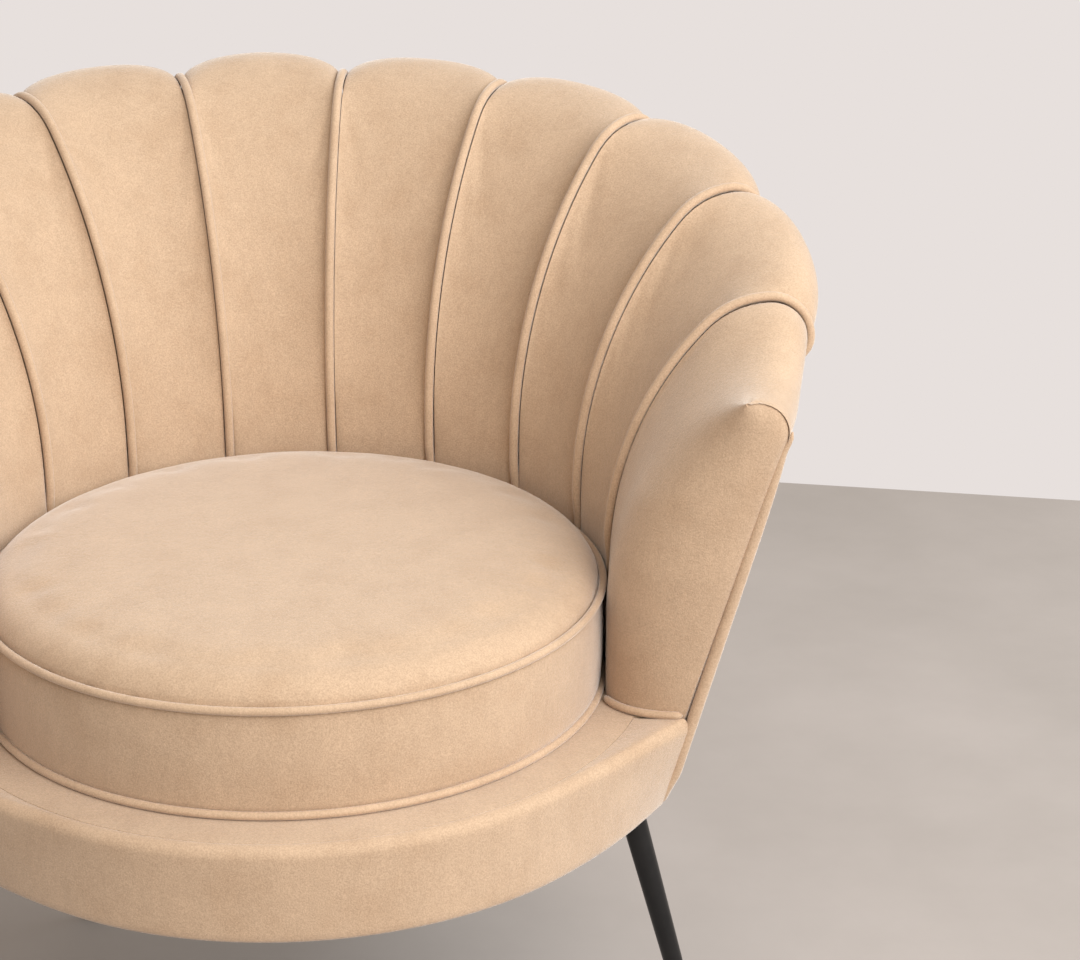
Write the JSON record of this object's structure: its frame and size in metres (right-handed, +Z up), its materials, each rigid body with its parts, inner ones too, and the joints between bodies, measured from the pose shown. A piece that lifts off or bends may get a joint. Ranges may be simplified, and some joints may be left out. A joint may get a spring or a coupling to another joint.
{
  "type": "tub armchair",
  "caption": "Shell-back tub armchair with a scalloped channelled back, a loose round seat cushion, a curved padded base and slim splayed metal legs.",
  "frame": {"origin": "on the floor, under the middle of the chair's box", "axes": "+Z up; the front of the seat faces -Y; +X is to the right of someone who faces the chair's front"},
  "size_m": [0.8336, 0.725, 0.761],
  "materials": {
    "velvet": "matte",
    "velvet_piping": "matte",
    "foam": "matte",
    "deck_cloth": "matte",
    "felt": "matte",
    "dust_cloth": "matte",
    "zip_tape": "matte",
    "zip_metal": "satin",
    "black_metal": "satin",
    "glide_plastic": "matte",
    "steel": "satin",
    "plywood": "matte"
  },
  "bodies": {
    "chair": {"apron_board": "plywood", "apron_cover": "velvet", "arm_channel_left": "velvet", "arm_channel_right": "velvet", "arm_foot_piping_left": "velvet_piping", "arm_foot_piping_right": "velvet_piping", "back_channel_left_1": "velvet", "back_channel_left_2": "velvet", "back_channel_left_3": "velvet", "back_channel_left_4": "velvet", "back_channel_middle": "velvet", "back_channel_right_1": "velvet", "back_channel_right_2": "velvet", "back_channel_right_3": "velvet", "back_channel_right_4": "velvet", "back_shell": "plywood", "base_bottom_ring": "plywood", "base_spacer_blocks": "plywood", "base_top_ring": "plywood", "dust_cover": "dust_cloth", "edge_piping_left": "velvet_piping", "edge_piping_right": "velvet_piping", "frame_screws": "steel", "leg_front_left": "black_metal", "leg_front_right": "black_metal", "leg_glide_front_left": "glide_plastic", "leg_glide_front_right": "glide_plastic", "leg_glide_rear_left": "glide_plastic", "leg_glide_rear_right": "glide_plastic", "leg_plates": "steel", "leg_rear_left": "black_metal", "leg_rear_right": "black_metal", "leg_studs": "steel", "outside_panel": "velvet", "plate_screws": "steel", "seam_piping_left_1": "velvet_piping", "seam_piping_left_2": "velvet_piping", "seam_piping_left_3": "velvet_piping", "seam_piping_left_4": "velvet_piping", "seam_piping_left_5": "velvet_piping", "seam_piping_right_1": "velvet_piping", "seam_piping_right_2": "velvet_piping", "seam_piping_right_3": "velvet_piping", "seam_piping_right_4": "velvet_piping", "seam_piping_right_5": "velvet_piping", "seat_deck": "deck_cloth", "seat_springs": "steel", "shell_bolts": "steel", "spring_clips": "steel", "spring_felt": "felt"},
    "cushion": {"cushion_band": "velvet", "cushion_bottom_panel": "velvet", "cushion_bottom_piping": "velvet_piping", "cushion_foam": "foam", "cushion_top_panel": "velvet", "cushion_top_piping": "velvet_piping", "zip_chain": "zip_tape"},
    "zip_slider": {"zip_slider": "zip_metal", "zip_pull": "zip_metal"}
  },
  "joints": [
    {"name": "cushion_lift", "type": "slide", "parent": "chair", "child": "cushion", "axis": [0, 0, 1], "range_m": [0, 0.45]},
    {"name": "zip_run", "type": "hinge", "parent": "cushion", "child": "zip_slider", "pos_m": [0, -0.08053, 0.39], "axis": [0, 0, 1], "range_deg": [0, 76]}
  ]
}
